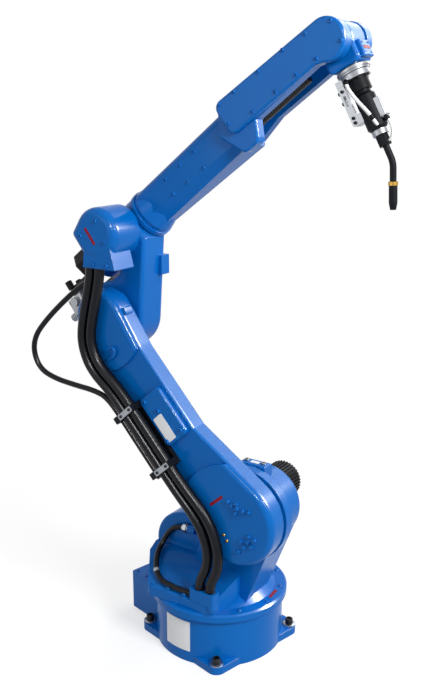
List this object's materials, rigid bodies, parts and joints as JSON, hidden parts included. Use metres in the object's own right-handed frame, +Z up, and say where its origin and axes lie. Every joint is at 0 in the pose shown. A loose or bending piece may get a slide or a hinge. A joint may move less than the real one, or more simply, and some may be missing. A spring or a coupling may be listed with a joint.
{
  "type": "industrial robot arm",
  "caption": "Floor-standing six-axis arc-welding robot arm in blue enamel, with a wire feeder, dressed conduits and a bent-neck welding torch.",
  "frame": {"origin": "on the floor face, at the vertical swivel axis", "axes": "+Z up; +X away from the connector box of the base; +Y to the left"},
  "size_m": [1.114, 0.568, 1.9472],
  "materials": {
    "blue_enamel": "gloss",
    "cable_rubber": "satin",
    "black_casing": "satin",
    "bare_aluminium": "satin",
    "brass_fitting": "satin"
  },
  "bodies": {
    "base": {"base_casting": "blue_enamel", "connector_box": "blue_enamel", "connector_panel": "bare_aluminium"},
    "swivel": {"swivel_casting": "blue_enamel", "swivel_rear_cover": "blue_enamel", "swivel_motor_dome": "blue_enamel", "shoulder_motor": "black_casing", "shoulder_stop_block": "blue_enamel", "conduit_gland": "blue_enamel", "swivel_lead": "cable_rubber", "shoulder_conduit_front": "cable_rubber", "shoulder_conduit_rear": "cable_rubber"},
    "lower_arm": {"lower_arm_casting": "blue_enamel", "lower_arm_pad": "blue_enamel", "cable_tray": "black_casing", "cable_clamp_lower": "bare_aluminium", "cable_clamp_upper": "bare_aluminium", "arm_conduit_front": "cable_rubber", "arm_conduit_rear": "cable_rubber", "arm_lead": "cable_rubber"},
    "elbow": {"elbow_casting": "blue_enamel", "elbow_cover": "blue_enamel", "roll_motor": "black_casing", "feeder_plate": "bare_aluminium", "feeder_body": "bare_aluminium", "feeder_motor": "black_casing", "feeder_lever": "black_casing", "elbow_conduit_front": "cable_rubber", "elbow_conduit_rear": "cable_rubber", "elbow_lead": "cable_rubber"},
    "forearm": {"forearm_casting": "blue_enamel", "forearm_cover": "blue_enamel", "torch_conduit": "cable_rubber"},
    "wrist": {"wrist_casting": "blue_enamel", "wrist_cap": "blue_enamel"},
    "tool": {"tool_flange": "bare_aluminium", "torch_adapter": "bare_aluminium", "torch_sensor": "black_casing", "torch_bracket": "bare_aluminium", "torch_body": "black_casing", "torch_block": "black_casing", "torch_collar": "bare_aluminium", "torch_socket": "black_casing", "torch_neck": "black_casing", "nozzle_ring": "brass_fitting", "torch_nozzle": "black_casing", "contact_tip": "brass_fitting"}
  },
  "joints": [
    {"name": "swivel_turn", "type": "hinge", "parent": "base", "child": "swivel", "pos_m": [0, 0, 0], "axis": [0, 0, 1], "range_deg": [-194, 166]},
    {"name": "lower_arm_lean", "type": "hinge", "parent": "swivel", "child": "lower_arm", "pos_m": [0.14554, 0.03629, 0.505], "axis": [-0.2419, 0.9703, 0], "range_deg": [-63.2, 196.8], "deforming": ["shoulder_conduit_front", "shoulder_conduit_rear"]},
    {"name": "elbow_raise", "type": "hinge", "parent": "lower_arm", "child": "elbow", "pos_m": [-0.34597, -0.08626, 1.07156], "axis": [0.2419, -0.9703, 0], "range_deg": [-76, 164.2], "deforming": ["elbow_conduit_front", "elbow_conduit_rear", "elbow_lead"]},
    {"name": "forearm_roll", "type": "hinge", "parent": "elbow", "child": "forearm", "pos_m": [-0.46438, -0.11578, 1.23002], "axis": [0.7688, 0.1917, 0.6101], "range_deg": [-150, 150]},
    {"name": "wrist_bend", "type": "hinge", "parent": "forearm", "child": "wrist", "pos_m": [0.36742, 0.09161, 1.8902], "axis": [0.2419, -0.9703, 0], "range_deg": [-35.4, 189.6]},
    {"name": "tool_twist", "type": "hinge", "parent": "wrist", "child": "tool", "pos_m": [0.36742, 0.09161, 1.8902], "axis": [0.4585, 0.1143, -0.8813], "range_deg": [-210, 210]}
  ]
}
